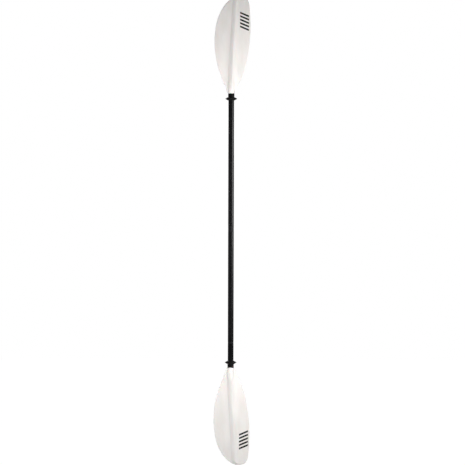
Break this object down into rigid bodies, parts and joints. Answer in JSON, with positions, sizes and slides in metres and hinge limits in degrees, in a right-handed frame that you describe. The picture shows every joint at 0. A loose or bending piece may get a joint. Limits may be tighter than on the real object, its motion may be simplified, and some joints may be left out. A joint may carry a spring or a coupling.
{
  "type": "kayak paddle",
  "caption": "Take-apart double-bladed kayak paddle: white ribbed spoon blades on a black tubular shaft with drip rings, a feathering centre joint and sprung lock buttons.",
  "frame": {"origin": "on the shaft's axis, midway between the two blade tips", "axes": "+Z along the shaft towards the right blade, -Y towards the ribbed backs of the blades, +X towards their full edges"},
  "size_m": [0.1756, 0.0622, 2.3],
  "materials": {
    "white_blade": "moulded polypropylene, satin gloss",
    "black_tube": "black anodised, satin",
    "bare_ferrule": "drawn tube, clear anodised",
    "grey_collar": "moulded nylon, satin",
    "black_rubber": "moulded rubber, matt",
    "button_steel": "turned stainless steel",
    "spring_steel": "rolled stainless strip",
    "plug_plastic": "soft moulded polyethylene"
  },
  "bodies": {
    "shaft_left": {"shaft_tube_left": "black_tube", "centre_ferrule": "bare_ferrule", "centre_collar": "grey_collar", "centre_button_spring": "spring_steel", "shaft_plug_left": "plug_plastic", "joint_ferrule_left": "bare_ferrule", "joint_collar_left": "grey_collar", "button_spring_left": "spring_steel"},
    "shaft_right": {"shaft_tube_right": "black_tube", "shaft_plug_right": "plug_plastic", "joint_ferrule_right": "bare_ferrule", "joint_collar_right": "grey_collar", "button_spring_right": "spring_steel"},
    "blade_section_right": {"blade_right": "white_blade", "blade_tube_right": "black_tube", "blade_plug_right": "plug_plastic"},
    "blade_section_left": {"blade_left": "white_blade", "blade_tube_left": "black_tube", "blade_plug_left": "plug_plastic"},
    "ring_right": {"drip_ring_right": "black_rubber"},
    "ring_left": {"drip_ring_left": "black_rubber"},
    "button_right": {"snap_button_right": "button_steel"},
    "button_left": {"snap_button_left": "button_steel"},
    "button_centre": {"centre_snap_button": "button_steel"}
  },
  "joints": [
    {"name": "feather_turn", "type": "hinge", "parent": "shaft_left", "child": "shaft_right", "pos_m": [0, 0, 0.0211], "axis": [0, 0, 1], "range_deg": [-60, 60], "deforming": ["centre_snap_button", "centre_button_spring"]},
    {"name": "blade_right_pull", "type": "slide", "parent": "shaft_right", "child": "blade_section_right", "axis": [0, 0, 1], "range_m": [0, 0.09], "deforming": ["snap_button_right", "button_spring_right"]},
    {"name": "blade_left_pull", "type": "slide", "parent": "shaft_left", "child": "blade_section_left", "axis": [0, 0, -1], "range_m": [0, 0.09], "deforming": ["snap_button_left", "button_spring_left"]},
    {"name": "button_right_press", "type": "slide", "parent": "shaft_right", "child": "button_right", "axis": [0, -1, 0], "range_m": [0, 0.0038], "stiffness_N_per_m": 600, "springref_m": -0.0015, "deforming": ["button_spring_right"]},
    {"name": "button_left_press", "type": "slide", "parent": "shaft_left", "child": "button_left", "axis": [0, -1, 0], "range_m": [0, 0.0038], "stiffness_N_per_m": 600, "springref_m": -0.0015, "deforming": ["button_spring_left"]},
    {"name": "centre_button_press", "type": "slide", "parent": "shaft_left", "child": "button_centre", "axis": [0, -1, 0], "range_m": [0, 0.0038], "stiffness_N_per_m": 600, "springref_m": -0.0015, "deforming": ["centre_button_spring"]},
    {"name": "ring_right_slide", "type": "slide", "parent": "blade_section_right", "child": "ring_right", "axis": [0, 0, -1], "range_m": [0, 0.045]},
    {"name": "ring_left_slide", "type": "slide", "parent": "blade_section_left", "child": "ring_left", "axis": [0, 0, 1], "range_m": [0, 0.045]}
  ]
}
